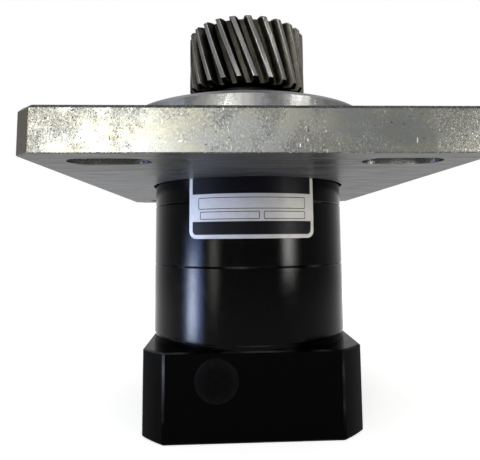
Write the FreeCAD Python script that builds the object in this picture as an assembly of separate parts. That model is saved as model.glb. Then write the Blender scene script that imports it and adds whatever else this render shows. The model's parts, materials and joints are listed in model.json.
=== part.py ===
import FreeCAD, Part
import math
import os
from FreeCAD import Vector

# A single-stage planetary gear reducer that hangs through the bore of a slotted mounting plate.
# Millimetres, +Z up along the output shaft, origin on the axis in the motor's mounting face.

# Black housing stack, from the motor face upwards
body_d = 60.0
adapter_corner_d = 76.4
adapter_h = 23.0
adapter_edge_break = 0.4
collar_h = 1.0
collar_step = 0.4
input_housing_h = 21.6
ring_h = 18.0
bearing_housing_h = 16.4
seam_chamfer = 0.3

# Motor interface and access hole
pilot_d = 50.0
pilot_depth = 4.0
motor_screw_pcd = 70.0
motor_tap_d = 3.3
motor_tap_depth = 12.0
motor_shaft_d = 14.0
hub_d = 34.0
hub_bore_depth = 27.0
hub_rim = 1.0
slit_w = 1.5
clamp_offset = 9.7
access_drop = 7.4
access_d = 8.0
plug_d = 12.0
plug_head_h = 2.2
plug_proud = 0.2
plug_stem_l = 5.0

# Mounting plate
plate_w = 97.5
plate_l = 133.0
plate_t = 9.8
plate_corner = 3.5
plate_top_bevel = 0.75
plate_bottom_bevel = 0.2
plate_gap = 0.75
slot_w = 8.5
slot_l = 18.0
slot_inset_x = 16.75
slot_inset_y = 10.5

# Output flange
flange_d = 78.2
flange_h = 11.8
flange_chamfer = 1.0
spigot_wall = 3.0
spigot_h = 5.0

# Output pinion and shaft end
pinion_gap = 9.15
pinion_face = 20.45
pinion_teeth = 24
pinion_module = 1.5
pinion_addendum = 1.25
pinion_dedendum = 1.76
pinion_helix = 19.3
pinion_phase = -82.9
pinion_top_chamfer = 0.5
pinion_bottom_chamfer = 1.25
pinion_pocket_d = 23.0
pinion_pocket_depth = 7.0
shaft_end_d = 18.0
key_w = 6.0
key_sunk = 3.5
key_l = 10.0
washer_t = 2.5
pinion_screw_d = 6.0
pinion_screw_l = 16.0
pinion_screw_head_h = 4.0

# Planetary gear set
gear_module = 0.4
sun_teeth = 12
planet_teeth = 48
ring_teeth = 108
planet_count = 3
tooth_thinning = 0.07
short_addendum = 0.75
dedendum_factor = 1.25
pressure_angle = 20.0
carrier_disc_t = 4.0
rear_plate_t = 2.5
sun_window_gap = 1.7
post_d = 5.6
post_margin = 0.4
pin_d = 6.0
roller_d = 2.0
roller_spacing = 1.1
thrust_washer_t = 0.5

# Bearings and seals
bearing_bore = 25.0
bearing_od = 37.0
bearing_w = 7.0
ball_fill = 0.6
land_share = 0.3
cage_t_share = 0.44
cage_h_share = 1.32
ball_spacing = 1.3
bearing_lip_t = 1.5
seal_w = 5.0
output_seal_od = 35.0
input_journal_d = 16.0
input_seal_od = 32.0
input_bearing_rise = 3.0
input_lip_t = 2.5
circlip_t = 1.2
circlip_depth = 0.8
circlip_mouth = 30.0
oring_d = 1.0

# Fasteners
small_screw_d = 3.0
clamp_screw_d = 4.0
clamp_seat = 7.6
carrier_screw_l = 7.0
thread_grip = 8.0

# Nameplate
label_arc_w = 36.7
label_h = 21.5
label_drop = 16.8
label_t = 0.25
label_corner = 2.3

# Clearances
fit_gap = 0.01
run_gap = 0.05
ball_gap = 0.06
screw_gap = 0.15
head_gap = 0.25
axial_gap = 0.1
end_gap = 0.5
rim_gap = 1.0

# Heights of the joint faces
z_input = adapter_h
z_ring = z_input + input_housing_h
z_bearing = z_ring + ring_h
z_flange = z_bearing + bearing_housing_h
z_plate = z_flange - plate_t
z_flange_top = z_flange + flange_h
z_pinion = z_flange_top + pinion_gap
z_pinion_top = z_pinion + pinion_face
z_pocket = z_pinion_top - pinion_pocket_depth
z_shaft_end = z_pocket - end_gap

# Heights inside the output stage
z_rear_bearing = z_bearing + bearing_lip_t
z_output_seal = z_flange_top - end_gap - seal_w
z_front_bearing_top = z_output_seal - bearing_lip_t
z_front_bearing = z_front_bearing_top - bearing_w
z_spigot = z_flange - spigot_h
z_disc_top = z_bearing - end_gap
z_disc = z_disc_top - carrier_disc_t
z_rear_plate = z_ring + rim_gap
z_planet_room = z_rear_plate + rear_plate_t

# Heights inside the input stage
z_hub = pilot_depth + rim_gap
z_hub_rim = z_input - end_gap
z_input_bearing = z_input + input_bearing_rise
z_input_lip = z_input_bearing + bearing_w
z_input_seal = z_input_lip + input_lip_t
z_cavity = z_input_seal + seal_w
z_neck_top = z_input_seal - end_gap
z_journal_top = z_cavity + end_gap
z_sun_top = z_disc - end_gap
z_access = adapter_h - access_drop

# Widths and radii that several pieces share
body_r = body_d / 2
adapter_side = body_d
corner_r = adapter_corner_d / 2
pilot_r = pilot_d / 2
hub_r = hub_d / 2
adapter_bore_r = hub_r + rim_gap
plate_bore_r = body_r + plate_gap
flange_r = flange_d / 2
bearing_in_r = bearing_bore / 2
bearing_out_r = bearing_od / 2
bearing_seat_r = bearing_out_r + fit_gap
spigot_r = bearing_out_r + spigot_wall
output_seal_r = output_seal_od / 2
input_seal_r = input_seal_od / 2
journal_r = input_journal_d / 2
shaft_end_r = shaft_end_d / 2
pin_r = pin_d / 2

# Ball bearing section
ball_pitch_r = (bearing_in_r + bearing_out_r) / 2
ball_d = ball_fill * (bearing_out_r - bearing_in_r)
ball_r = ball_d / 2
land_offset = land_share * ball_d
inner_land_r = ball_pitch_r - land_offset
outer_land_r = ball_pitch_r + land_offset
ball_count = int(2 * math.pi * ball_pitch_r / (ball_spacing * ball_d))
cage_half_t = cage_t_share * ball_d / 2
cage_half_h = cage_h_share * ball_d / 2

# Gear radii
sun_pitch_r = gear_module * sun_teeth / 2
planet_pitch_r = gear_module * planet_teeth / 2
ring_pitch_r = gear_module * ring_teeth / 2
pinion_pitch_r = pinion_module * pinion_teeth / 2
gear_dedendum = dedendum_factor * gear_module
short_tip = short_addendum * gear_module
ring_tip_r = ring_pitch_r - short_tip
ring_root_r = ring_pitch_r + gear_dedendum
planet_tip_r = planet_pitch_r + short_tip
planet_root_r = planet_pitch_r - gear_dedendum
sun_tip_r = sun_pitch_r + gear_module
sun_root_r = sun_pitch_r - gear_dedendum
planet_circle_r = sun_pitch_r + planet_pitch_r
tooth_thickness = math.pi * gear_module / 2 - tooth_thinning
pinion_tip_r = pinion_pitch_r + pinion_addendum
pinion_root_r = pinion_pitch_r - pinion_dedendum
pinion_thickness = math.pi * pinion_module / 2

# Carrier and planet bearing radii
carrier_r = ring_tip_r - rim_gap
post_r = post_d / 2
post_circle_r = carrier_r - post_r - post_margin
roller_circle_r = pin_r + run_gap + roller_d / 2
planet_bore_r = pin_r + roller_d + 2 * run_gap
roller_count = int(2 * math.pi * roller_circle_r / (roller_spacing * roller_d))
thrust_washer_r = planet_root_r - rim_gap
sun_window_r = sun_tip_r + sun_window_gap

# Screw circles
tie_circle_r = (ring_root_r + body_r) / 2
adapter_circle_r = (adapter_bore_r + pilot_r) / 2
flange_circle_r = (plate_bore_r + flange_r - flange_chamfer) / 2
small_screw_r = small_screw_d / 2
oring_circle_r = (ring_root_r + tie_circle_r - small_screw_r - screw_gap) / 2

# Angles
FRONT = -math.pi / 2
DIAGONAL = math.pi / 4
QUARTER = math.pi / 2
TURN = 2 * math.pi
UP = Vector(0, 0, 1)
DOWN = Vector(0, 0, -1)
TO_FRONT = Vector(0, -1, 0)
ON_AXIS = Vector(0, 0, 0)


def polar(radius, angle, z=0.0):
    return Vector(radius * math.cos(angle), radius * math.sin(angle), z)


def around(count, radius, first=0.0):
    """Points spaced evenly on a circle."""
    return [polar(radius, first + TURN * step / count) for step in range(count)]


def disc(radius, low, high, centre=ON_AXIS):
    """Upright cylinder between two heights."""
    return Part.makeCylinder(radius, high - low, Vector(centre.x, centre.y, low))


def tube(inner, outer, low, high, centre=ON_AXIS):
    return disc(outer, low, high, centre).cut(disc(inner, low, high, centre))


def bores(points, radius, low, high):
    """Upright drilling tool for a group of equal holes."""
    return Part.makeCompound([disc(radius, low, high, point) for point in points])


def turned(*profile):
    """Solid of revolution from (radius, height) corners."""
    corners = [Vector(radius, 0, height) for radius, height in profile]
    face = Part.Face(Part.makePolygon(corners + corners[:1]))
    return face.revolve(ON_AXIS, UP, 360)


def prism(corners, low, high):
    """Straight-sided block from a flat outline."""
    points = [Vector(x, y, low) for x, y in corners]
    face = Part.Face(Part.makePolygon(points + points[:1]))
    return face.extrude(Vector(0, 0, high - low))


def slot_block(length, width, low, high, centre=ON_AXIS):
    """Upright block with round ends, long in X."""
    run = (length - width) / 2
    block = prism([(-run, -width / 2), (run, -width / 2), (run, width / 2), (-run, width / 2)], low, high)
    for side in (-1, 1):
        block = block.fuse(disc(width / 2, low, high, Vector(side * run, 0, 0)))
    block = block.removeSplitter()
    block.translate(Vector(centre.x, centre.y, 0))
    return block


def placed(shape, origin, direction):
    """Copy of a shape built along +Z, set at a point and turned to a direction."""
    copy = shape.copy()
    copy.Placement = FreeCAD.Placement(origin, FreeCAD.Rotation(UP, direction))
    return copy


def head_radius(thread_d):
    """Socket head radius for a metric thread."""
    return (1.5 * thread_d + 1.0) / 2


def cap_screw(thread_d, length, head_h):
    """Socket head screw, seat of the head at the origin, thread downwards."""
    thread_r = thread_d / 2
    head_r = head_radius(thread_d)
    tip = 0.15 * thread_d
    rim = 0.08 * thread_d
    blank = turned(
        (0, -length), (thread_r - tip, -length), (thread_r, tip - length), (thread_r, 0),
        (head_r, 0), (head_r, head_h - rim), (head_r - rim, head_h), (0, head_h))
    socket = prism([(p.x, p.y) for p in around(6, 0.47 * thread_d)], 0.45 * head_h, head_h)
    return blank.cut(socket)


def countersunk_screw(thread_d, length, head_h):
    """Flat head screw, top of the head at the origin, thread downwards."""
    thread_r = thread_d / 2
    blank = turned(
        (0, -length), (thread_r, -length), (thread_r, -head_h), (head_radius(thread_d), 0), (0, 0))
    socket = prism([(p.x, p.y) for p in around(6, 0.33 * thread_d)], -0.6 * head_h, 0)
    return blank.cut(socket)


def group(shape, points, z, direction):
    """Equal pieces set at several points of one height."""
    return Part.makeCompound([placed(shape, Vector(p.x, p.y, z), direction) for p in points])


# Gear teeth

def involute(radius, base_r):
    pressure = math.acos(min(1.0, base_r / radius))
    return math.tan(pressure) - pressure


def gear_wire(teeth, pitch_r, root_r, tip_r, thickness, phase):
    """Closed outline of a toothed wheel with a tooth centred on the phase angle."""
    base_r = pitch_r * math.cos(math.radians(pressure_angle))
    flank_r = max(root_r, base_r)

    def half_angle(radius):
        return thickness / (2 * pitch_r) + involute(pitch_r, base_r) - involute(radius, base_r)

    radii = (flank_r, (flank_r + tip_r) / 2, tip_r)
    foot = half_angle(flank_r)
    edges = []
    for tooth in range(teeth):
        middle = phase + TURN * tooth / teeth
        rise = [polar(r, middle - half_angle(r)) for r in radii]
        fall = [polar(r, middle + half_angle(r)) for r in reversed(radii)]
        start = polar(root_r, middle - foot)
        end = polar(root_r, middle + foot)
        valley = polar(root_r, middle + math.pi / teeth)
        following = polar(root_r, middle + TURN / teeth - foot)
        if root_r < flank_r:
            edges.append(Part.makeLine(start, rise[0]))
        edges.append(Part.Arc(*rise).toShape())
        edges.append(Part.Arc(rise[-1], polar(tip_r, middle), fall[0]).toShape())
        edges.append(Part.Arc(*fall).toShape())
        if root_r < flank_r:
            edges.append(Part.makeLine(fall[-1], end))
        edges.append(Part.Arc(end, valley, following).toShape())
    return Part.Wire(edges)


def spur_block(wire, low, high):
    """Straight toothed block from a gear outline."""
    block = Part.Face(wire).extrude(Vector(0, 0, high - low))
    block.translate(Vector(0, 0, low))
    return block


def helical_block(teeth, pitch_r, root_r, tip_r, thickness, phase, helix, low, high):
    """Left-hand helical toothed block, skinned over turned copies of one outline."""
    twist = math.tan(helix) * (high - low) / pitch_r
    layers = 6
    wires = []
    for layer in range(layers + 1):
        share = layer / layers
        wire = gear_wire(teeth, pitch_r, root_r, tip_r, thickness, phase - twist * share)
        wire.translate(Vector(0, 0, low + share * (high - low)))
        wires.append(wire)
    return Part.makeLoft(wires, True, False)


# Housing stack

tie_points = around(4, tie_circle_r, DIAGONAL)
adapter_points = around(4, adapter_circle_r)
flange_points = around(6, flange_circle_r, math.pi / 6)
tie_hole_r = small_screw_r + screw_gap
tap_r = small_screw_r + fit_gap
head_hole_r = head_radius(small_screw_d) + head_gap
head_depth = small_screw_d + head_gap
z_tie_seat = z_input + head_depth
z_adapter_seat = pilot_depth + head_depth
z_flange_seat = z_flange_top - head_depth


def oring_groove(low, high):
    half_w = oring_d / 2 + axial_gap
    return tube(oring_circle_r - half_w, oring_circle_r + half_w, low, high)


def access_tool(radius, depth):
    """Drilling tool from the adapter's front face inwards."""
    start = Vector(-clamp_offset, -adapter_side / 2, z_access)
    return Part.makeCylinder(radius, depth, start, -TO_FRONT)


def motor_adapter():
    half = adapter_side / 2
    block = prism([(-half, -half), (half, -half), (half, half), (-half, half)], 0, adapter_h)
    block = block.common(disc(corner_r, 0, adapter_h))
    block = block.makeChamfer(adapter_edge_break, block.Edges)
    block = block.fuse(tube(outer_land_r, bearing_out_r, z_input - rim_gap, z_input_bearing))
    block = block.cut(disc(pilot_r, 0, pilot_depth))
    block = block.cut(disc(adapter_bore_r, pilot_depth, z_input - rim_gap))
    block = block.cut(disc(outer_land_r, z_input - rim_gap, z_input_bearing))
    block = block.cut(bores(around(4, motor_screw_pcd / 2, DIAGONAL), motor_tap_d / 2, 0, motor_tap_depth))
    block = block.cut(bores(adapter_points, tie_hole_r, pilot_depth, adapter_h))
    block = block.cut(bores(adapter_points, head_hole_r, pilot_depth, z_adapter_seat))
    block = block.cut(access_tool(access_d / 2, adapter_side / 2))
    return block.cut(access_tool(plug_d / 2 + run_gap, plug_head_h - plug_proud))


def access_plug():
    rim = 0.4
    head_r = plug_d / 2
    stem_r = access_d / 2 - run_gap
    blank = turned(
        (0, 0), (head_r, 0), (head_r, plug_head_h - rim), (head_r - rim, plug_head_h), (0, plug_head_h))
    blank = blank.fuse(tube(stem_r / 2, stem_r, -plug_stem_l, 0))
    seat = Vector(-clamp_offset, plug_head_h - plug_proud - adapter_side / 2, z_access)
    return placed(blank, seat, TO_FRONT)


def input_housing():
    foot_r = body_r - collar_step
    z_collar = z_input + collar_h
    shell = turned(
        (bearing_seat_r, z_input), (foot_r, z_input), (foot_r, z_collar),
        (body_r, z_collar + collar_step), (body_r, z_ring - seam_chamfer),
        (body_r - seam_chamfer, z_ring), (ring_tip_r, z_ring), (ring_tip_r, z_cavity),
        (input_seal_r, z_cavity), (input_seal_r, z_input_seal), (outer_land_r - rim_gap, z_input_seal),
        (outer_land_r - rim_gap, z_input_lip), (bearing_seat_r, z_input_lip))
    shell = shell.cut(bores(tie_points, tie_hole_r, z_input, z_ring))
    shell = shell.cut(bores(tie_points, head_hole_r, z_input, z_tie_seat))
    shell = shell.cut(bores(adapter_points, tap_r, z_input, z_input + thread_grip))
    return shell.cut(oring_groove(z_ring - oring_d, z_ring))


def ring_gear():
    body = turned(
        (0, z_ring), (body_r - seam_chamfer, z_ring), (body_r, z_ring + seam_chamfer),
        (body_r, z_bearing - seam_chamfer), (body_r - seam_chamfer, z_bearing), (0, z_bearing))
    space = math.pi * gear_module / 2 + tooth_thinning
    phase = QUARTER + math.pi / ring_teeth
    teeth = gear_wire(ring_teeth, ring_pitch_r, ring_tip_r, ring_root_r, space, phase)
    body = body.cut(spur_block(teeth, z_ring, z_bearing))
    return body.cut(bores(tie_points, tie_hole_r, z_ring, z_bearing))


def bearing_housing():
    socket_r = spigot_r + fit_gap
    shell = turned(
        (outer_land_r - rim_gap, z_bearing), (body_r - seam_chamfer, z_bearing),
        (body_r, z_bearing + seam_chamfer), (body_r, z_flange), (socket_r, z_flange),
        (socket_r, z_spigot), (bearing_seat_r, z_spigot), (bearing_seat_r, z_rear_bearing),
        (outer_land_r - rim_gap, z_rear_bearing))
    shell = shell.cut(bores(tie_points, tie_hole_r, z_bearing, z_flange))
    return shell.cut(oring_groove(z_bearing, z_bearing + oring_d))


def output_flange():
    lip_r = outer_land_r - rim_gap
    shell = turned(
        (bearing_seat_r, z_spigot), (spigot_r, z_spigot), (spigot_r, z_flange), (flange_r, z_flange),
        (flange_r, z_flange_top - flange_chamfer), (flange_r - flange_chamfer, z_flange_top),
        (output_seal_r, z_flange_top), (output_seal_r, z_output_seal), (lip_r, z_output_seal),
        (lip_r, z_front_bearing_top), (bearing_seat_r, z_front_bearing_top))
    shell = shell.cut(bores(tie_points, tap_r, z_flange, z_flange + thread_grip))
    shell = shell.cut(bores(flange_points, tie_hole_r, z_flange, z_flange_top))
    return shell.cut(bores(flange_points, head_hole_r, z_flange_seat, z_flange_top))


def mounting_plate():
    x = plate_w / 2
    y = plate_l / 2
    c = plate_corner
    outline = [
        (x - c, -y), (x, c - y), (x, y - c), (x - c, y),
        (c - x, y), (-x, y - c), (-x, c - y), (c - x, -y)]
    plate = prism(outline, z_plate, z_flange)
    for bevel, height in ((plate_top_bevel, z_flange), (plate_bottom_bevel, z_plate)):
        rim = [edge for edge in plate.Edges if abs(edge.CenterOfMass.z - height) < fit_gap]
        plate = plate.makeChamfer(bevel, rim)
    plate = plate.cut(disc(plate_bore_r, z_plate, z_flange))
    for side in (-1, 1):
        for end in (-1, 1):
            centre = Vector(side * (x - slot_inset_x), end * (y - slot_inset_y), 0)
            plate = plate.cut(slot_block(slot_l, slot_w, z_plate, z_flange, centre))
    return plate.cut(bores(flange_points, tap_r, z_flange - thread_grip, z_flange))


def nameplate():
    """Thin sheet with rounded corners, wrapped on the front of the black cylinder."""
    half = label_arc_w / (2 * body_r)
    low = z_plate - label_drop
    high = low + label_h
    reach = 2 * body_r
    rays = [polar(reach, FRONT + side * half) for side in (-1, 0, 1)]
    wedge = prism([(0, 0)] + [(ray.x, ray.y) for ray in rays], low, high)
    sheet = tube(body_r, body_r + label_t, low, high).common(wedge)
    corners = [edge for edge in sheet.Edges if edge.Length < 2 * label_t]
    return sheet.makeFillet(label_corner, corners)


def housing_orings():
    ring = Part.makeTorus(oring_circle_r, oring_d / 2)
    return Part.makeCompound([
        placed(ring, Vector(0, 0, z), UP) for z in (z_ring - oring_d / 2, z_bearing + oring_d / 2)])


def seal(inner_r, outer_r, low):
    """Rubber-covered shaft seal with an open groove behind its lip."""
    lip_r = inner_r + run_gap
    lip_t = 0.25 * (outer_r - inner_r)
    floor = low + 0.3 * seal_w
    return turned(
        (lip_r, floor - 0.2 * seal_w), (lip_r + lip_t, low), (lip_r + lip_t, floor),
        (outer_r - lip_t, floor), (outer_r - lip_t, low), (outer_r, low),
        (outer_r, low + seal_w), (lip_r + lip_t, low + seal_w), (lip_r, floor + 0.3 * seal_w))


# Ball bearings

def ball_track(gap):
    return Part.makeTorus(ball_pitch_r, ball_r + gap)


def bearing_outer_ring():
    ring = tube(outer_land_r, bearing_out_r, -bearing_w / 2, bearing_w / 2)
    return ring.cut(ball_track(ball_gap))


def bearing_inner_ring():
    ring = tube(bearing_in_r + fit_gap, inner_land_r, -bearing_w / 2, bearing_w / 2)
    return ring.cut(ball_track(ball_gap))


ball_points = around(ball_count, ball_pitch_r)


def bearing_balls():
    return Part.makeCompound([Part.makeSphere(ball_r, point) for point in ball_points])


def bearing_cage():
    """Ring with one round pocket drilled outwards for each ball."""
    ring = tube(ball_pitch_r - cage_half_t, ball_pitch_r + cage_half_t, -cage_half_h, cage_half_h)
    drill = Part.makeCylinder(ball_r + ball_gap, bearing_out_r)
    return ring.cut(Part.makeCompound([placed(drill, ON_AXIS, point) for point in ball_points]))


def save_bearing(name, low):
    middle = Vector(0, 0, low + bearing_w / 2)
    save(name + "_outer_ring", placed(bearing_outer_ring(), middle, UP))
    save(name + "_inner_ring", placed(bearing_inner_ring(), middle, UP))
    save(name + "_balls", placed(bearing_balls(), middle, UP))
    save(name + "_cage", placed(bearing_cage(), middle, UP))


# Planet carrier, output shaft and pinion

planet_points = around(planet_count, planet_circle_r, QUARTER)
post_points = around(planet_count, post_circle_r, QUARTER + math.pi / planet_count)
sleeve_foot = bearing_lip_t - axial_gap
z_key = z_pinion + (z_pocket - z_pinion - key_l) / 2
carrier_head_h = head_radius(small_screw_d) - small_screw_r


def key_block(gap):
    """Round-ended key that lies along the shaft on its +X side."""
    block = slot_block(key_l + 2 * gap, key_w + 2 * gap, 0, key_w)
    block.rotate(ON_AXIS, Vector(0, 1, 0), 90)
    block.translate(Vector(shaft_end_r - key_sunk, 0, z_key + key_l / 2))
    return block


def planet_carrier():
    shaft = turned(
        (0, z_disc), (carrier_r, z_disc), (carrier_r, z_disc_top), (inner_land_r, z_disc_top),
        (inner_land_r, z_rear_bearing), (bearing_in_r, z_rear_bearing),
        (bearing_in_r, z_front_bearing_top - end_gap), (shaft_end_r, z_front_bearing_top - end_gap),
        (shaft_end_r, z_shaft_end), (0, z_shaft_end))
    for point in post_points:
        shaft = shaft.fuse(disc(post_r, z_planet_room, z_disc, point))
    shaft = shaft.cut(bores(planet_points, pin_r + fit_gap, z_disc, z_disc_top))
    shaft = shaft.cut(bores(post_points, tap_r, z_planet_room, z_planet_room + carrier_screw_l))
    shaft = shaft.cut(disc(pinion_screw_d / 2 + fit_gap, z_shaft_end - pinion_screw_l, z_shaft_end))
    return shaft.cut(key_block(fit_gap))


def carrier_rear_plate():
    plate = tube(sun_window_r, carrier_r, z_rear_plate, z_planet_room)
    plate = plate.cut(bores(planet_points, pin_r + fit_gap, z_rear_plate, z_planet_room))
    plate = plate.cut(bores(post_points, tap_r, z_rear_plate, z_planet_room))
    sink = turned(
        (0, 0), (head_radius(small_screw_d) + fit_gap, 0), (tap_r, carrier_head_h), (0, carrier_head_h))
    return plate.cut(group(sink, post_points, z_rear_plate, UP))


def carrier_screws():
    screw = countersunk_screw(small_screw_d, carrier_screw_l, carrier_head_h)
    return group(screw, post_points, z_rear_plate, DOWN)


def planet_pins():
    return bores(planet_points, pin_r, z_rear_plate, z_disc_top)


def thrust_washers():
    washers = []
    for point in planet_points:
        for low in (z_planet_room, z_disc - thrust_washer_t):
            washers.append(tube(pin_r + run_gap, thrust_washer_r, low, low + thrust_washer_t, point))
    return Part.makeCompound(washers)


z_planet = z_planet_room + thrust_washer_t + axial_gap
z_planet_top = z_disc - thrust_washer_t - axial_gap


def planet_gear(point):
    """Planet with a tooth gap towards the sun and towards the ring."""
    phase = math.atan2(point.y, point.x) + math.pi / planet_teeth
    wire = gear_wire(planet_teeth, planet_pitch_r, planet_root_r, planet_tip_r, tooth_thickness, phase)
    gear = spur_block(wire, z_planet, z_planet_top)
    gear = gear.cut(disc(planet_bore_r, z_planet, z_planet_top))
    gear.translate(Vector(point.x, point.y, 0))
    return gear


def needle_rollers(point):
    centres = [point + offset for offset in around(roller_count, roller_circle_r)]
    return bores(centres, roller_d / 2, z_planet, z_planet_top)


def bearing_spacer(inner_r, outer_r):
    return tube(inner_r, outer_r, z_rear_bearing + bearing_w, z_front_bearing)


def shaft_sleeve():
    z_step = z_front_bearing_top + sleeve_foot
    return turned(
        (shaft_end_r + fit_gap, z_front_bearing_top), (inner_land_r, z_front_bearing_top),
        (inner_land_r, z_step), (bearing_in_r, z_step), (bearing_in_r, z_pinion),
        (shaft_end_r + fit_gap, z_pinion))


def pinion():
    gear = helical_block(
        pinion_teeth, pinion_pitch_r, pinion_root_r, pinion_tip_r, pinion_thickness,
        math.radians(pinion_phase), math.radians(pinion_helix), z_pinion, z_pinion_top)
    rim_r = pinion_tip_r + fit_gap
    gear = gear.common(turned(
        (0, z_pinion), (rim_r - pinion_bottom_chamfer, z_pinion),
        (rim_r, z_pinion + pinion_bottom_chamfer), (rim_r, z_pinion_top - pinion_top_chamfer),
        (rim_r - pinion_top_chamfer, z_pinion_top), (0, z_pinion_top)))
    gear = gear.cut(disc(shaft_end_r + fit_gap, z_pinion, z_pocket))
    gear = gear.cut(disc(pinion_pocket_d / 2, z_pocket, z_pinion_top))
    half = key_w / 2 + fit_gap
    key_top = shaft_end_r - key_sunk + key_w + axial_gap
    return gear.cut(prism([(0, -half), (key_top, -half), (key_top, half), (0, half)], z_pinion, z_pocket))


def pinion_washer():
    outer_r = pinion_pocket_d / 2 - end_gap
    return tube(pinion_screw_d / 2 + screw_gap, outer_r, z_pocket, z_pocket + washer_t)


def pinion_screw():
    screw = cap_screw(pinion_screw_d, pinion_screw_l, pinion_screw_head_h)
    return placed(screw, Vector(0, 0, z_pocket + washer_t), UP)


# Input hub
def input_hub():
    hub = turned(
        (0, z_hub), (hub_r - hub_rim, z_hub), (hub_r, z_hub + hub_rim), (hub_r, z_hub_rim - rim_gap),
        (inner_land_r, z_hub_rim - rim_gap), (inner_land_r, z_input_bearing),
        (bearing_in_r, z_input_bearing), (bearing_in_r, z_neck_top), (journal_r, z_neck_top),
        (journal_r, z_journal_top), (0, z_journal_top))
    hub = hub.cut(disc(motor_shaft_d / 2, z_hub, z_hub + hub_bore_depth))
    groove_r = bearing_in_r - circlip_depth
    hub = hub.cut(tube(groove_r, bearing_out_r, z_input_lip, z_input_lip + circlip_t))
    slit = Part.makeBox(hub_r, slit_w, z_hub_rim - rim_gap - z_hub, Vector(-hub_r, -slit_w / 2, z_hub))
    hub = hub.cut(slit)
    middle = Vector(-clamp_offset, 0, z_access)
    screw_r = clamp_screw_d / 2
    hub = hub.cut(Part.makeCylinder(screw_r + screw_gap, hub_r, middle, TO_FRONT))
    hub = hub.cut(Part.makeCylinder(screw_r + fit_gap, hub_r, middle, -TO_FRONT))
    seat = middle + TO_FRONT * clamp_seat
    hub = hub.cut(Part.makeCylinder(head_radius(clamp_screw_d) + head_gap, hub_r, seat, TO_FRONT))
    wire = gear_wire(sun_teeth, sun_pitch_r, sun_root_r, sun_tip_r, tooth_thickness, QUARTER)
    return hub.fuse(spur_block(wire, z_journal_top, z_sun_top))


def clamp_screw():
    screw = cap_screw(clamp_screw_d, 2 * clamp_seat, clamp_screw_d)
    return placed(screw, Vector(-clamp_offset, -clamp_seat, z_access), TO_FRONT)


def hub_circlip():
    ring = tube(bearing_in_r - circlip_depth + fit_gap, inner_land_r, z_input_lip, z_input_lip + circlip_t)
    half = math.radians(circlip_mouth) / 2
    mouth = [(0, 0)] + [(p.x, p.y) for p in (polar(bearing_out_r, -half), polar(bearing_out_r, half))]
    return ring.cut(prism(mouth, z_input_lip, z_input_lip + circlip_t))


def save(name, shape):
    shape.exportStep("parts/" + name + ".step")


def main():
    os.makedirs("parts", exist_ok=True)
    save("mounting_plate", mounting_plate())
    save("output_flange", output_flange())
    save("bearing_housing", bearing_housing())
    save("ring_gear", ring_gear())
    save("input_housing", input_housing())
    save("motor_adapter", motor_adapter())
    save("access_plug", access_plug())
    save("nameplate", nameplate())
    save("housing_orings", housing_orings())
    save("output_seal", seal(bearing_in_r, output_seal_r - fit_gap, z_output_seal))
    save("input_seal", seal(journal_r, input_seal_r - fit_gap, z_input_seal))

    tie_length = z_flange + thread_grip - end_gap - z_tie_seat
    tie_screw = cap_screw(small_screw_d, tie_length, small_screw_d)
    save("tie_screws", group(tie_screw, tie_points, z_tie_seat, DOWN))
    adapter_length = z_input + thread_grip - end_gap - z_adapter_seat
    adapter_screw = cap_screw(small_screw_d, adapter_length, small_screw_d)
    save("adapter_screws", group(adapter_screw, adapter_points, z_adapter_seat, DOWN))
    flange_length = z_flange_seat - z_flange + thread_grip - end_gap
    flange_screw = cap_screw(small_screw_d, flange_length, small_screw_d)
    save("flange_screws", group(flange_screw, flange_points, z_flange_seat, UP))

    save_bearing("front_bearing", z_front_bearing)
    save_bearing("rear_bearing", z_rear_bearing)
    save_bearing("input_bearing", z_input_bearing)
    save("bearing_outer_spacer", bearing_spacer(outer_land_r, bearing_out_r))
    save("bearing_inner_spacer", bearing_spacer(bearing_in_r + fit_gap, inner_land_r))

    save("planet_carrier", planet_carrier())
    save("carrier_rear_plate", carrier_rear_plate())
    save("carrier_screws", carrier_screws())
    save("planet_pins", planet_pins())
    save("thrust_washers", thrust_washers())
    for number, point in enumerate(planet_points, start=1):
        save("planet_gear_" + str(number), planet_gear(point))
        save("needle_rollers_" + str(number), needle_rollers(point))
    save("shaft_sleeve", shaft_sleeve())
    save("pinion", pinion())
    save("pinion_key", key_block(0))
    save("pinion_washer", pinion_washer())
    save("pinion_screw", pinion_screw())

    save("input_hub", input_hub())
    save("clamp_screw", clamp_screw())
    save("hub_circlip", hub_circlip())


main()
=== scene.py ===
import json
import math

import bmesh
import bpy
from mathutils import Matrix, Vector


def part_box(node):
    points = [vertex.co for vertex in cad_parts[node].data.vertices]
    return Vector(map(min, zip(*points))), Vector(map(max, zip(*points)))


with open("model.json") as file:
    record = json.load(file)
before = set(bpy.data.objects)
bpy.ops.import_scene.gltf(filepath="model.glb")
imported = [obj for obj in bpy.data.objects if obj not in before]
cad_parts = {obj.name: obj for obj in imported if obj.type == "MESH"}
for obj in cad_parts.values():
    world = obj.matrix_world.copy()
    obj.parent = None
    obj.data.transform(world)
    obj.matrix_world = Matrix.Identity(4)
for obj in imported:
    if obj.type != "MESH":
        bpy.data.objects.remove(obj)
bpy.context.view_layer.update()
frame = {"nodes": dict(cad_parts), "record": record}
MM = 0.001

# The photograph's camera: size in pixels, lens in pixels, optical centre and place
PHOTO_W = 480
PHOTO_H = 460
FOCAL_PX = 479.9
CENTRE_PX = (250.7, 186.1)
CAMERA_AT = (-0.0065, -0.1594, 0.0528)
CAMERA_YAW = math.radians(-2.68)
CAMERA_PITCH = math.radians(6.05)
CAMERA_ROLL = math.radians(-0.57)
CAMERA_NEAR = 0.01
SENSOR = 36.0

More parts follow.
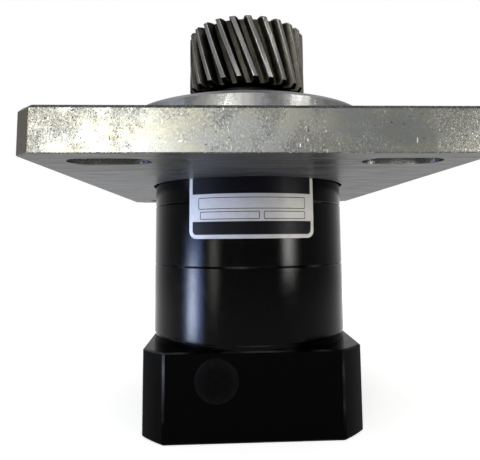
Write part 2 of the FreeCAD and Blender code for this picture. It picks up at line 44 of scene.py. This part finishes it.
# Floor: its radius, where its rim starts to fade, and how white it shows of itself.
# FLOOR_GLOW has two rings as (radius, level), FLOOR_FRONT the y from which the level
# is lowest, the y at which it is full, and the share that is left in front.
FLOOR_R = 0.50
FLOOR_FADE_R = 0.18
FLOOR_SIDES = 96
FLOOR_GLOW = ((0.05, 0.72), (0.30, 0.95))
FLOOR_FRONT = (-0.35, -0.03, 0.45)
FLOOR_COLOUR = (0.85, 0.85, 0.85, 1.0)

# Backdrop: levels by the y of a direction, and the ceiling, which darkens between two
# heights of a direction to a share of the level. AMBIENT is the even light from all sides.
BACKDROP = ((-0.5, 0.46), (0.2, 0.56), (0.75, 1.0))
CEILING = (0.48, 0.72, 0.6)
AMBIENT = 0.10

# Lamps, all aimed at STAGE_CENTRE: name, azimuth and elevation in degrees, distance, width
# and height in metres, power in watts, colour and spread of the beam in degrees
STAGE_CENTRE = (0.0, 0.0, 0.055)
WHITE = (1.0, 1.0, 1.0)
WARM = (1.0, 0.98, 0.90)
OPEN = 180
LAMPS = (
    ("left", -65, -10, 0.157, 0.064, 0.056, 0.028, (0.35, 0.50, 1.0), 40),
    ("left_core", -65, -13, 0.156, 0.026, 0.040, 0.019, (0.80, 0.88, 1.0), 40),
    ("left_fill", -42, -2, 0.36, 0.055, 0.10, 0.0034, (1.0, 0.98, 0.88), 16),
    ("left_high", -70, 22, 0.60, 0.20, 0.16, 0.10, (0.75, 0.85, 1.0), OPEN),
    ("right", 41, -1, 0.13, 0.028, 0.032, 0.0054, (1.0, 0.99, 0.95), 30),
    ("right_high", 44, 18, 0.60, 0.12, 0.16, 0.46, (1.0, 0.97, 0.90), OPEN),
    ("front_high", -16.6, 10.8, 0.70, 0.14, 0.08, 1.00, WARM, OPEN),
    ("front_mid", 3, 14, 0.70, 0.14, 0.10, 0.13, WHITE, OPEN),
    ("top", -10, 60, 0.80, 0.50, 0.50, 1.8, WHITE, OPEN),
    ("back_left", -140, 55, 0.80, 0.40, 0.40, 0.5, WHITE, OPEN),
    ("back_right", 140, 55, 0.80, 0.40, 0.40, 0.5, WHITE, OPEN),
)

# Corners cut off the plate, shown in a darker, browner tone: length along each side, and the soft
# border of that tone
CORNER_CUT = 3.5 * MM
CUT_OUTER = 0.1 * MM
CUT_INNER = 0.3 * MM

# Nameplate print, measured on the sheet
PRINT_BORDER = 1.05 * MM
PRINT_CORNER = 1.3 * MM
HEADER_H = 12.2 * MM
FOOTER_TOP = 4.65 * MM
FIELD_LINE = 0.07 * MM
FIELD_CORNER = 0.2 * MM
SOFT_EDGE = 0.05 * MM

# Pinion teeth: rounding of their edges, and the depth under the tip where the land is worn and
# painted lighter as a highlight
TOOTH_EDGE_R = 0.5 * MM
LAND_FROM = 0.14 * MM
LAND_FULL = 0.05 * MM

# Height of the relief in each material
ZINC_RELIEF = 0.003 * MM
TURNED_RELIEF = 0.010 * MM
TURNED_WAVE = 0.12 * MM
BODY_PEEL = 0.022 * MM
ADAPTER_PEEL = 0.005 * MM
FOIL_RELIEF = 0.008 * MM
RUBBER_PORES = 0.03 * MM
GEAR_RELIEF = 0.006 * MM
MACHINED_RELIEF = 0.008 * MM
SCREW_RELIEF = 0.015 * MM

# Tool marks per millimetre
TURNED_MARKS = 9 / MM
MACHINED_MARKS = 6 / MM


def grey(value, warm=0.0):
    return (value * (1 + warm), value, value * (1 - warm), 1.0)


class Nodes:
    """Short calls that add nodes to a shader tree and link them."""

    def __init__(self, tree):
        self.tree = tree

    def node(self, kind, inputs=None, **settings):
        made = self.tree.nodes.new("ShaderNode" + kind)
        for key, value in settings.items():
            setattr(made, key, value)
        for key, value in (inputs or {}).items():
            self.feed(made.inputs[key], value)
        return made

    def feed(self, socket, value):
        if isinstance(value, bpy.types.NodeSocket):
            self.tree.links.new(value, socket)
        else:
            socket.default_value = value

    def math(self, operation, first, second=0.0):
        return self.node("Math", {0: first, 1: second}, operation=operation).outputs[0]

    def vector(self, operation, first, second=(0.0, 0.0, 0.0)):
        made = self.node("VectorMath", {0: first, 1: second}, operation=operation)
        return made.outputs["Value" if operation in ("LENGTH", "DOT_PRODUCT") else "Vector"]

    def split(self, vector):
        """The X, Y and Z of a vector."""
        return self.node("SeparateXYZ", {"Vector": vector}).outputs

    def step(self, value, low, high, start=0.0, end=1.0, shape="SMOOTHSTEP"):
        """Change from start to end while value goes from low to high."""
        inputs = {"Value": value, "From Min": low, "From Max": high, "To Min": start, "To Max": end}
        return self.node("MapRange", inputs, interpolation_type=shape).outputs["Result"]

    def seen_directly(self):
        """1 for camera, mirror and glass rays, 0 for the rays that light the object."""
        path = self.node("LightPath").outputs
        mirror = self.math("MAXIMUM", path["Is Camera Ray"], path["Is Glossy Ray"])
        return self.math("MAXIMUM", mirror, path["Is Transmission Ray"])


class Surface(Nodes):
    """A Principled material, with calls for the patterns that feed it."""

    def __init__(self, name, **constants):
        self.material = bpy.data.materials.new(name)
        self.material.use_nodes = True
        super().__init__(self.material.node_tree)
        self.shader = self.tree.nodes["Principled BSDF"]
        self.place = self.node("TexCoord").outputs
        for key, value in constants.items():
            self.shader.inputs[key.replace("_", " ")].default_value = value

    def send(self, key, value):
        self.feed(self.shader.inputs[key], value)

    def both(self, first, second):
        """Product of two values: 1 only where both are."""
        return self.math("MULTIPLY", first, second)

    def between(self, value, low, high, soft=0.05):
        """1 while value lies between low and high, with soft ends."""
        return self.both(self.step(value, low - soft, low + soft),
                         self.step(value, high + soft, high - soft))

    def mix(self, factor, first, second):
        inputs = {"Factor": factor, 6: first, 7: second}
        return self.node("Mix", inputs, data_type="RGBA").outputs[2]

    def stretched(self, x, y, z):
        """Object coordinates in millimetres, scaled along each axis."""
        inputs = {"Vector": self.place["Object"], "Scale": (x / MM, y / MM, z / MM)}
        return self.node("Mapping", inputs).outputs["Vector"]

    def noise(self, vector, scale=1.0, detail=3.0, roughness=0.55):
        inputs = {"Vector": vector, "Scale": scale, "Detail": detail, "Roughness": roughness}
        return self.node("TexNoise", inputs).outputs["Fac"]

    def pattern(self, x, y, z, detail=3.0, roughness=0.55):
        """Noise with so many lumps to a millimetre along each axis."""
        return self.noise(self.stretched(x, y, z), 1.0, detail, roughness)

    def bump(self, height, depth, normal=None):
        inputs = {"Height": height, "Distance": depth, "Strength": 1.0}
        if normal is not None:
            inputs["Normal"] = normal
        return self.node("Bump", inputs).outputs["Normal"]

    def soft_edges(self, radius):
        """Normals that round each sharp edge a little, so that it catches the light."""
        return self.node("Bevel", {"Radius": radius}, samples=6).outputs["Normal"]

    def true_normal(self):
        return self.node("NewGeometry").outputs["Normal"]

    def facing_up(self):
        """How far the surface faces up, from -1 to 1."""
        return self.split(self.place["Normal"])["Z"]

    def round_coordinates(self):
        """Distance from the gear axis, height and angle from the front, in metres and radians."""
        at = self.split(self.place["Object"])
        x, y = at["X"], at["Y"]
        squares = self.math("ADD", self.both(x, x), self.both(y, y))
        angle = self.math("ARCTAN2", x, self.both(y, -1.0))
        return self.math("SQRT", squares), at["Z"], angle

    def joined(self, x, y, z=0.0):
        return self.node("CombineXYZ", {"X": x, "Y": y, "Z": z}).outputs["Vector"]

    def tilted(self, amount, vector, scale):
        """Surface normal leaned a little at random in each small cell, as on a crystal skin."""
        cells = self.node("TexVoronoi", {"Vector": vector, "Scale": scale}).outputs["Color"]
        lean = self.vector("SUBTRACT", cells, (0.5, 0.5, 0.5))
        lean = self.node("VectorMath", {0: lean, "Scale": amount}, operation="SCALE")
        leaned = self.vector("ADD", self.true_normal(), lean.outputs["Vector"])
        return self.vector("NORMALIZE", leaned)


# Materials

def zinc_plate():
    """Zinc on a sawn plate: sides with sparkling patches, pits, dark specks and bright dings,
    bright flecks painted on as glints, bevels darkened as painted shade, corners in a darker,
    browner tone, and ground, streaked faces."""
    white_zinc = (0.225, 0.235, 0.23, 1.0)
    yellow_zinc = (0.252, 0.252, 0.215, 1.0)
    corner_brown_tone = (0.172, 0.158, 0.132, 1.0)
    patch_grey, bevel_shade_grey, pit_grey, speck_grey = (grey(v) for v in (0.10, 0.08, 0.15, 0.05))
    crystal_grey, ding_and_glint_grey = grey(0.42), grey(0.8)
    ground_dark, ground_light = grey(0.165), grey(0.205, 0.02)
    s = Surface("zinc_plate", Metallic=1.0, Specular_Tint=grey(0.6))
    flat = s.stretched(1, 1, 1)
    upright = s.math("ABSOLUTE", s.facing_up())
    broad = s.step(upright, 0.8, 0.95)
    rim = s.math("SUBTRACT", 1.0, broad)

    patch = s.noise(flat, 0.13, 3, 0.6)
    cloud = s.pattern(0.08, 0.08, 0.2)
    side = s.mix(s.step(cloud, 0.4, 0.62), white_zinc, yellow_zinc)
    side = s.mix(s.step(patch, 0.46, 0.62, 0.0, 0.3), side, patch_grey)
    # Painted shade: the bevels, picked out by how far they face up, are darkened.
    side = s.mix(s.between(upright, 0.6, 0.78), side, bevel_shade_grey)
    pit = s.both(s.step(s.pattern(3.2, 3.2, 2.4), 0.54, 0.68), s.step(patch, 0.38, 0.55))
    side = s.mix(pit, side, pit_grey)
    crystal = s.step(s.pattern(2.6, 2.6, 1.7, 2, 0.6), 0.50, 0.64)
    crystal = s.both(crystal, s.step(patch, 0.34, 0.50, 0.25, 1.0))
    side = s.mix(s.both(crystal, 0.5), side, crystal_grey)
    streak = s.pattern(0.03, 0.4, 0.05, 5, 0.65)
    face = s.mix(s.step(streak, 0.35, 0.7), ground_dark, ground_light)
    colour = s.mix(broad, side, face)

    sparkle = s.both(s.step(patch, 0.42, 0.62), rim)
    # Painted glints: bright flecks in the sparkling patches of the sides.
    glint_fleck = s.both(s.step(s.pattern(1.6, 1.6, 0.9, 2), 0.67, 0.73), s.step(sparkle, 0.0, 0.3))
    ding = s.both(s.step(s.pattern(1.1, 1.1, 0.3, 2), 0.72, 0.75), rim)
    speck = s.both(s.step(s.pattern(1.2, 1.2, 1.6, 2), 0.31, 0.27), rim)
    colour = s.mix(speck, colour, speck_grey)
    # Dings are real bright marks; the flecks mixed in with them are painted glints.
    colour = s.mix(s.math("MAXIMUM", ding, s.both(glint_fleck, 0.6)), colour, ding_and_glint_grey)
    at = s.split(s.place["Object"])
    reach = s.math("ADD", s.math("ABSOLUTE", at["X"]), s.math("ABSOLUTE", at["Y"]))
    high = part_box("mounting_plate")[1]
    cut = high.x + high.y - CORNER_CUT
    # The cut corners of the sides get a darker, browner tone.
    darker_corner = s.both(s.step(reach, cut - CUT_INNER, cut - CUT_OUTER), rim)
    s.send("Base Color", s.mix(darker_corner, colour, corner_brown_tone))

    dull = s.pattern(0.10, 2.0, 0.3)
    side_rough = s.math("MAXIMUM", s.step(patch, 0.35, 0.65, 0.29, 0.37), s.both(pit, 0.85))
    face_rough = s.step(dull, 0.35, 0.65, 0.29, 0.54)
    s.send("Roughness", s.math("ADD", s.both(broad, face_rough), s.both(rim, side_rough)))
    normal = s.tilted(s.both(rim, s.step(sparkle, 0.0, 1.0, 0.03, 0.14)), flat, 5.0)
    grain = s.pattern(4, 4, 2, 3, 0.6)
    relief = s.math("ADD", s.both(grain, rim), s.both(streak, broad))
    s.send("Normal", s.bump(relief, ZINC_RELIEF, normal))
    return s.material


def turned_steel():
    """Flange turned on a lathe, with fine tool marks around the axis and uneven gloss."""
    s = Surface("turned_steel", Metallic=1.0, Specular_Tint=grey(0.5))
    radius, height, angle = s.round_coordinates()
    rings = s.joined(s.both(radius, TURNED_MARKS), s.both(height, TURNED_MARKS), s.both(angle, 1.5))
    marks = s.noise(rings, 1.0, 3, 0.6)
    smudge = s.noise(s.stretched(1, 1, 1), 0.25)
    wave = s.pattern(0.35, 0.35, 0.12, 2)
    s.send("Base Color", s.mix(s.step(smudge, 0.35, 0.7), grey(0.24, -0.02), grey(0.28)))
    s.send("Roughness", s.math("ADD", s.step(marks, 0.3, 0.7, 0.22, 0.32),
                               s.step(smudge, 0.4, 0.65, 0.0, 0.08)))
    s.send("Normal", s.bump(marks, TURNED_RELIEF, s.bump(wave, TURNED_WAVE)))
    return s.material


def black_coat(name, roughness, peel, shine, bare, square):
    """Black coat with a slight orange peel and a little dust, rubbed to bare metal along its
    edges, and along the upright ones too where the piece is square; these rubbed edges are also
    set lighter as painted highlight lines."""
    s = Surface(name, Specular_IOR_Level=shine)
    flat = s.stretched(1, 1, 1)
    skin = s.noise(flat, 3.6, 2, 0.5)
    dust = s.noise(flat, 0.35, 5, 0.65)
    facing = s.split(s.place["Normal"])
    x, y, z = (s.math("ABSOLUTE", facing[key]) for key in "XYZ")
    edge = s.between(z, 0.5, 0.9)
    if square:
        edge = s.math("MAXIMUM", edge, s.between(s.math("MINIMUM", x, y), 0.2, 0.5))
    rub = s.noise(flat, 0.07, 3, 0.5)
    # Worn edges, also set lighter as painted highlight lines.
    worn_and_lit = s.both(edge, s.step(rub, 0.44, 0.72))
    coat = s.mix(s.step(dust, 0.55, 0.8), grey(0.0006), grey(0.0016))
    # The bare colour serves both the worn metal and the painted edge highlight.
    s.send("Base Color", s.mix(worn_and_lit, coat, grey(bare)))
    s.send("Metallic", s.both(worn_and_lit, 0.6))
    dusty = s.step(dust, 0.3, 0.75, roughness, roughness + 0.08)
    s.send("Roughness", s.math("ADD", dusty, s.both(worn_and_lit, 0.2)))
    s.send("Normal", s.bump(skin, peel))
    return s.material


def rounded_box(s, point, centre, half, corner):
    """Distance from a point of the print to a box with round corners, below 0 inside it."""
    offset = s.vector("ABSOLUTE", s.vector("SUBTRACT", point, (*centre, 0.0)))
    beyond = s.vector("SUBTRACT", offset, (half[0] - corner, half[1] - corner, 1.0))
    outside = s.vector("LENGTH", s.vector("MAXIMUM", beyond, (0.0, 0.0, 0.0)))
    return s.math("SUBTRACT", outside, corner)


def nameplate():
    """Satin foil with two plain black bands and empty fields between them."""
    black_ink = (0.002, 0.002, 0.003, 1.0)
    scuffed_ink = (0.004, 0.004, 0.006, 1.0)
    low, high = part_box("nameplate")
    wrap_r = -low.y
    half_w = math.asin(high.x / wrap_r) * wrap_r
    half_h = (high.z - low.z) / 2
    s = Surface("nameplate", Specular_IOR_Level=0.05)
    _, height, angle = s.round_coordinates()
    up = s.math("SUBTRACT", height, low.z)
    point = s.joined(s.both(angle, wrap_r), up)
    panel = rounded_box(s, point, (0.0, half_h), (half_w - PRINT_BORDER, half_h - PRINT_BORDER),
                        PRINT_CORNER)
    bare = s.both(s.step(up, FOOTER_TOP, FOOTER_TOP + SOFT_EDGE),
                  s.step(up, HEADER_H + SOFT_EDGE, HEADER_H))
    printed = s.both(s.step(panel, 0.0, -SOFT_EDGE), s.math("SUBTRACT", 1.0, bare))
    band_h = HEADER_H - FOOTER_TOP
    upper_row = FOOTER_TOP + 0.66 * band_h
    lower_row = FOOTER_TOP + 0.22 * band_h
    fields = (
        ((0.0, upper_row), (half_w - 3 * PRINT_BORDER, 0.2 * band_h)),
        ((-0.35 * half_w, lower_row), (0.45 * half_w, 0.13 * band_h)),
        ((0.5 * half_w, lower_row), (0.33 * half_w, 0.13 * band_h)))
    for centre, half in fields:
        outline = s.math("ABSOLUTE", rounded_box(s, point, centre, half, FIELD_CORNER))
        line = s.step(outline, FIELD_LINE + SOFT_EDGE, FIELD_LINE)
        printed = s.math("MAXIMUM", printed, line)

    scuff = s.noise(s.stretched(1, 1, 1), 0.5, 5, 0.7)
    foil = s.mix(s.step(scuff, 0.4, 0.75), grey(0.29, 0.03), grey(0.25, 0.03))
    ink = s.mix(s.step(scuff, 0.5, 0.8), black_ink, scuffed_ink)
    s.send("Base Color", s.mix(printed, foil, ink))
    s.send("Metallic", s.step(printed, 0.0, 1.0, 0.03, 0.0))
    s.send("Roughness", s.step(scuff, 0.35, 0.75, 0.38, 0.5))
    s.send("Normal", s.bump(s.pattern(0.3, 0.3, 6.0), FOIL_RELIEF))
    return s.material


def rubber():
    """Charcoal rubber with fine pores and patchy dust, painted lighter towards the rim of the plug
    as a rim highlight.
    """
    low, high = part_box("access_plug")
    centre = ((low.x + high.x) / 2, 0.0, (low.z + high.z) / 2)
    width = high.x - low.x
    s = Surface("rubber", Specular_IOR_Level=0.03)
    flat = s.stretched(1, 1, 1)
    offset = s.vector("SUBTRACT", s.place["Object"], centre)
    from_axis = s.vector("LENGTH", s.vector("MULTIPLY", offset, (1.0, 0.0, 1.0)))
    rim = s.step(from_axis, 0.2 * width, 0.5 * width)
    pores = s.noise(flat, 3.5, 3, 0.6)
    dust = s.noise(flat, 0.5, 4)
    plug_centre_tone = s.mix(s.step(dust, 0.4, 0.75), grey(0.0012), grey(0.0022))
    dusty = s.mix(s.step(dust, 0.35, 0.7), grey(0.0036), grey(0.0056))
    # Painted rim highlight: the colour lifts towards the rim, on top of the patchy dust.
    s.send("Base Color", s.mix(rim, plug_centre_tone, dusty))
    s.send("Roughness", s.step(pores, 0.3, 0.7, 0.62, 0.82))
    s.send("Normal", s.bump(pores, RUBBER_PORES))
    return s.material


def gear_steel():
    """Hobbed gear steel: one flank of each tooth painted lighter and the other darker as painted
    light and shade, each toned by a patchy film; lands worn and painted lighter as a highlight,
    painted highlights along the land edges, lower end painted black as shade."""
    shaded_thin_film, shaded_thick_film = (0.05, 0.046, 0.038, 1.0), (0.028, 0.026, 0.022, 1.0)
    lit_clean, lit_filmed = (0.22, 0.207, 0.17, 1.0), (0.15, 0.141, 0.117, 1.0)
    worn_lit_land, painted_edge_highlight = grey(0.27, 0.02), grey(0.50, 0.02)
    upper_end, shaded_lower_end = grey(0.24), grey(0.006)
    tip_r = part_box("pinion")[1].x
    s = Surface("gear_steel", Metallic=1.0, Specular_Tint=grey(0.3))
    film = s.step(s.noise(s.stretched(1, 1, 1), 0.22), 0.35, 0.7)
    shaded_flank = s.mix(film, shaded_thin_film, shaded_thick_film)
    lit_flank = s.mix(film, lit_clean, lit_filmed)
    twist = s.split(s.vector("CROSS_PRODUCT", s.place["Object"], s.place["Normal"]))["Z"]
    # Painted light and shade: the flank that turns one way is lighter, the other darker.
    flank = s.mix(s.step(twist, 0.1 * tip_r, -0.3 * tip_r), shaded_flank, lit_flank)

    marks = s.pattern(3, 3, 0.25)
    rounded = s.soft_edges(TOOTH_EDGE_R)
    turn = s.math("SUBTRACT", 1.0, s.vector("DOT_PRODUCT", rounded, s.true_normal()))
    land = s.step(s.round_coordinates()[0], tip_r - LAND_FROM, tip_r - LAND_FULL)
    # Worn lands, also set lighter as a painted highlight.
    worn_and_lit = s.both(land, s.step(marks, 0.3, 0.6, 1.0, 0.6))
    colour = s.mix(worn_and_lit, flank, worn_lit_land)
    # Painted highlight along the rounded edges of the lands.
    colour = s.mix(s.both(land, s.step(turn, 0.04, 0.16)), colour, painted_edge_highlight)
    facing = s.facing_up()
    colour = s.mix(s.step(facing, 0.8, 0.95), colour, upper_end)
    # Painted shade: faces turned down are set near black.
    s.send("Base Color", s.mix(s.step(facing, -0.35, -0.6), colour, shaded_lower_end))
    s.send("Roughness", s.step(marks, 0.3, 0.7, 0.26, 0.38))
    s.send("Normal", s.bump(marks, GEAR_RELIEF, rounded))
    return s.material


def machined(name, light, dark, rough, warm=0.0):
    """Bare machined metal with tool marks around the gear axis."""
    s = Surface(name, Metallic=1.0)
    radius, height, angle = s.round_coordinates()
    rings = s.joined(s.both(radius, MACHINED_MARKS), s.both(height, MACHINED_MARKS), angle)
    marks = s.noise(rings)
    film = s.noise(s.stretched(1, 1, 1), 0.4)
    s.send("Base Color", s.mix(s.step(film, 0.35, 0.7), grey(light, warm), grey(dark, warm)))
    s.send("Roughness", s.step(marks, 0.3, 0.7, *rough))
    s.send("Normal", s.bump(marks, MACHINED_RELIEF))
    return s.material


def black_screw():
    """Black oxide, worn to steel in small flecks."""
    s = Surface("black_screw", Metallic=0.9)
    wear = s.noise(s.stretched(1, 1, 1), 1.8, 4, 0.7)
    s.send("Base Color", s.mix(s.step(wear, 0.60, 0.78), grey(0.035), grey(0.16)))
    s.send("Roughness", s.step(wear, 0.3, 0.7, 0.34, 0.5))
    s.send("Normal", s.bump(wear, SCREW_RELIEF))
    return s.material


LOOKS = {
    "zinc_plate": zinc_plate(),
    "turned_steel": turned_steel(),
    "black_body": black_coat("black_body", roughness=0.11, peel=BODY_PEEL, shine=0.055,
                             bare=0.06, square=False),
    "black_adapter": black_coat("black_adapter", roughness=0.16, peel=ADAPTER_PEEL, shine=0.02,
                                bare=0.05, square=True),
    "nameplate": nameplate(),
    "rubber": rubber(),
    "gear_steel": gear_steel(),
    "shaft_steel": machined("shaft_steel", light=0.54, dark=0.46, rough=(0.22, 0.34)),
    "black_screw": black_screw(),
    "bearing_steel": machined("bearing_steel", light=0.66, dark=0.58, rough=(0.10, 0.18)),
    "brass_cage": machined("brass_cage", light=0.48, dark=0.40, rough=(0.24, 0.36), warm=0.4),
}

# The sleeve next to the seal takes the black screw finish as painted shade, where it sits in shadow
# under the pinion
SHADE_BLACK_NODES = {"shaft_sleeve": "black_screw"}


def dress_nodes():
    for subpart in frame["record"]["subparts"]:
        node = subpart["node"]
        mesh = frame["nodes"][node].data
        mesh.materials.clear()
        mesh.materials.append(LOOKS[SHADE_BLACK_NODES.get(node, subpart["material_slot"])])


# Studio

def build_world():
    """White behind the object, darker at its sides and in front, with a weak even light."""
    world = bpy.data.worlds.new("studio")
    bpy.context.scene.world = world
    world.use_nodes = True
    n = Nodes(world.node_tree)
    toward = n.split(n.node("TexCoord").outputs["Generated"])
    shade = n.node("ValToRGB", {"Fac": n.step(toward["Y"], -1.0, 1.0, shape="LINEAR")})
    ramp = shade.color_ramp
    ramp.interpolation = "EASE"
    ramp.elements.new(0.5)
    for element, (direction, level) in zip(ramp.elements, BACKDROP):
        element.position = (direction + 1) / 2
        element.color = grey(level)
    start, end, share = CEILING
    overhead = n.step(toward["Z"], start, end, 1.0, share)
    backdrop = n.math("MULTIPLY", shade.outputs["Color"], overhead)
    choose = n.node("Mix", {"Factor": n.seen_directly(), "A": AMBIENT, "B": backdrop})
    background = world.node_tree.nodes["Background"]
    background.inputs["Color"].default_value = grey(1.0)
    n.feed(background.inputs["Strength"], choose.outputs["Result"])


def floor_paint():
    """Pale paint, whitest around and behind the object, clear at the floor's rim."""
    material = bpy.data.materials.new("floor")
    material.use_nodes = True
    n = Nodes(material.node_tree)
    n.tree.nodes.clear()
    place = n.node("TexCoord").outputs["Object"]
    reach = n.vector("LENGTH", place)
    (near, near_level), (far, far_level) = FLOOR_GLOW
    ring = n.step(reach, near, far, near_level, far_level, "LINEAR")
    level = n.math("MULTIPLY", ring, n.step(n.split(place)["Y"], *FLOOR_FRONT))
    glow = n.node("Emission", {"Strength": n.math("MULTIPLY", n.seen_directly(), level)})
    paint = n.node("BsdfDiffuse", {"Color": FLOOR_COLOUR})
    lifted = n.node("AddShader", {0: paint.outputs[0], 1: glow.outputs[0]})
    clear = n.node("BsdfTransparent")
    fade = n.step(reach, FLOOR_FADE_R, FLOOR_R)
    blend = n.node("MixShader", {0: fade, 1: lifted.outputs[0], 2: clear.outputs[0]})
    n.node("OutputMaterial", {"Surface": blend.outputs[0]})
    return material


def build_floor():
    """Round floor that keeps the object's shadow."""
    mesh = bpy.data.meshes.new("floor")
    shape = bmesh.new()
    bmesh.ops.create_circle(shape, cap_ends=True, segments=FLOOR_SIDES, radius=FLOOR_R)
    shape.to_mesh(mesh)
    shape.free()
    mesh.materials.append(floor_paint())
    floor = bpy.data.objects.new("floor", mesh)
    bpy.context.scene.collection.objects.link(floor)


def softbox(name, azimuth, elevation, distance, width, height, power, colour, spread):
    """Rectangular lamp aimed at the object; azimuth 0 is in front and grows to the right."""
    lamp = bpy.data.lights.new(name, "AREA")
    lamp.shape = "RECTANGLE"
    lamp.size = width
    lamp.size_y = height
    lamp.energy = power
    lamp.color = colour
    lamp.spread = math.radians(spread)
    box = bpy.data.objects.new(name, lamp)
    turn = Matrix.Rotation(math.radians(azimuth), 4, "Z")
    tip = Matrix.Rotation(math.radians(90 - elevation), 4, "X")
    out = Matrix.Translation((0.0, 0.0, distance))
    box.visible_camera = False
    box.matrix_world = Matrix.Translation(STAGE_CENTRE) @ turn @ tip @ out
    bpy.context.scene.collection.objects.link(box)


def build_lights():
    for lamp in LAMPS:
        softbox(*lamp)


def build_camera():
    data = bpy.data.cameras.new("camera")
    data.sensor_fit = "HORIZONTAL"
    data.sensor_width = SENSOR
    data.lens = FOCAL_PX * SENSOR / PHOTO_W
    data.shift_x = (PHOTO_W / 2 - CENTRE_PX[0]) / PHOTO_W
    data.shift_y = (CENTRE_PX[1] - PHOTO_H / 2) / PHOTO_W
    data.clip_start = CAMERA_NEAR
    camera = bpy.data.objects.new("camera", data)
    yaw = Matrix.Rotation(CAMERA_YAW, 4, "Z")
    pitch = Matrix.Rotation(math.pi / 2 + CAMERA_PITCH, 4, "X")
    roll = Matrix.Rotation(CAMERA_ROLL, 4, "Z")
    camera.matrix_world = Matrix.Translation(CAMERA_AT) @ yaw @ pitch @ roll
    bpy.context.scene.collection.objects.link(camera)
    bpy.context.scene.camera = camera


dress_nodes()
build_world()
build_floor()
build_lights()
build_camera()
bpy.context.scene.view_settings.view_transform = "Standard"
